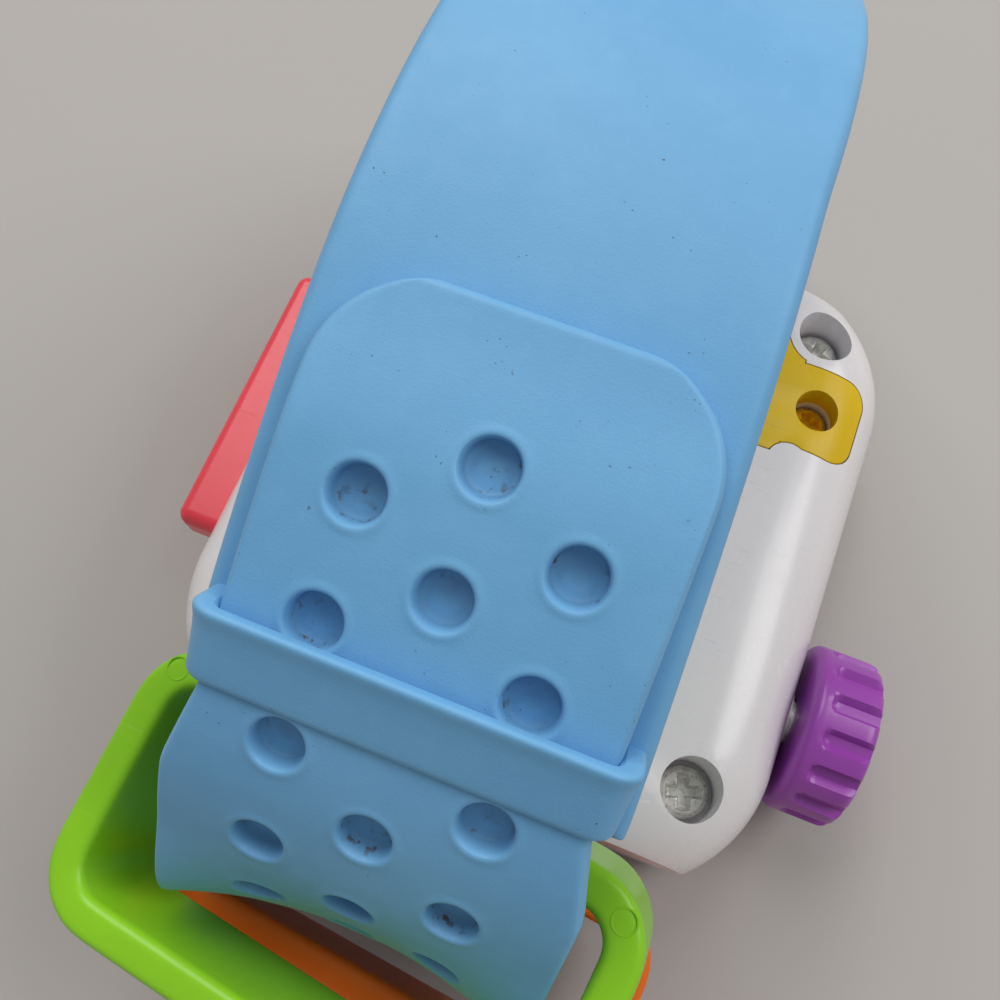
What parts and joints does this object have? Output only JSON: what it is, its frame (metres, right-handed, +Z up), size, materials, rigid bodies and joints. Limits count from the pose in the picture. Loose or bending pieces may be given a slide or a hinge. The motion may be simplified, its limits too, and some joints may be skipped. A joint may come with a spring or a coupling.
{
  "type": "toy watch",
  "caption": "Chunky toy watch lying on its face, with a buckled two-part rubber strap, two loose loop rings, a turning crown, a push bar and finger-turned hands.",
  "frame": {"origin": "centre of the bezel rim, on the surface that the watch rests on", "axes": "+Z up out of the back, +X towards the crown, +Y towards the end that carries the plain strap"},
  "size_m": [0.0826, 0.116, 0.0688],
  "materials": {
    "white_plastic": "gloss",
    "blue_rubber": "satin",
    "yellow_plastic": "gloss",
    "green_plastic": "gloss",
    "orange_plastic": "gloss",
    "purple_plastic": "gloss",
    "red_plastic": "gloss",
    "cream_plastic": "matte",
    "steel": "satin"
  },
  "bodies": {
    "case": {"front_shell": "white_plastic", "back_cover": "white_plastic", "case_screws": "steel", "hatch": "yellow_plastic", "hatch_screws": "steel", "bezel": "yellow_plastic", "dial": "cream_plastic", "hour_marks": "orange_plastic", "centre_post": "steel", "hand_washer": "steel", "post_cap": "yellow_plastic", "crown_bush": "steel", "click_spring": "steel", "click_screw": "steel", "button_springs": "steel", "plain_strap": "blue_rubber", "dimpled_strap": "blue_rubber", "strap_pins": "steel"},
    "crown": {"crown_shaft": "steel", "crown_knob": "purple_plastic", "star_wheel": "cream_plastic", "shaft_screw": "steel"},
    "hour": {"hour_hand": "red_plastic"},
    "minute": {"minute_hand": "purple_plastic"},
    "button": {"side_button": "red_plastic"},
    "lower_ring": {"orange_ring": "orange_plastic"},
    "upper_ring": {"green_ring": "green_plastic"}
  },
  "joints": [
    {"name": "crown_turn", "type": "hinge", "parent": "case", "child": "crown", "pos_m": [0.038, -0.0141, 0.011], "axis": [1, 0, 0], "continuous": true, "deforming": ["click_spring"]},
    {"name": "hour_turn", "type": "hinge", "parent": "case", "child": "hour", "pos_m": [0, 0, 0.0042], "axis": [0, 0, -1], "continuous": true},
    {"name": "minute_turn", "type": "hinge", "parent": "case", "child": "minute", "pos_m": [0, 0, 0.0023], "axis": [0, 0, -1], "continuous": true},
    {"name": "button_press", "type": "slide", "parent": "case", "child": "button", "axis": [1, 0, 0], "range_m": [0, 0.002], "stiffness_N_per_m": 250, "springref_m": -0.002, "deforming": ["button_springs"]},
    {"name": "lower_ring_slide", "type": "slide", "parent": "case", "child": "lower_ring", "axis": [0, 0, 1], "range_m": [0, 0.002]},
    {"name": "upper_ring_slide", "type": "slide", "parent": "case", "child": "upper_ring", "axis": [-0.1564, -0.1375, 0.9781], "range_m": [0, 0.002]}
  ]
}
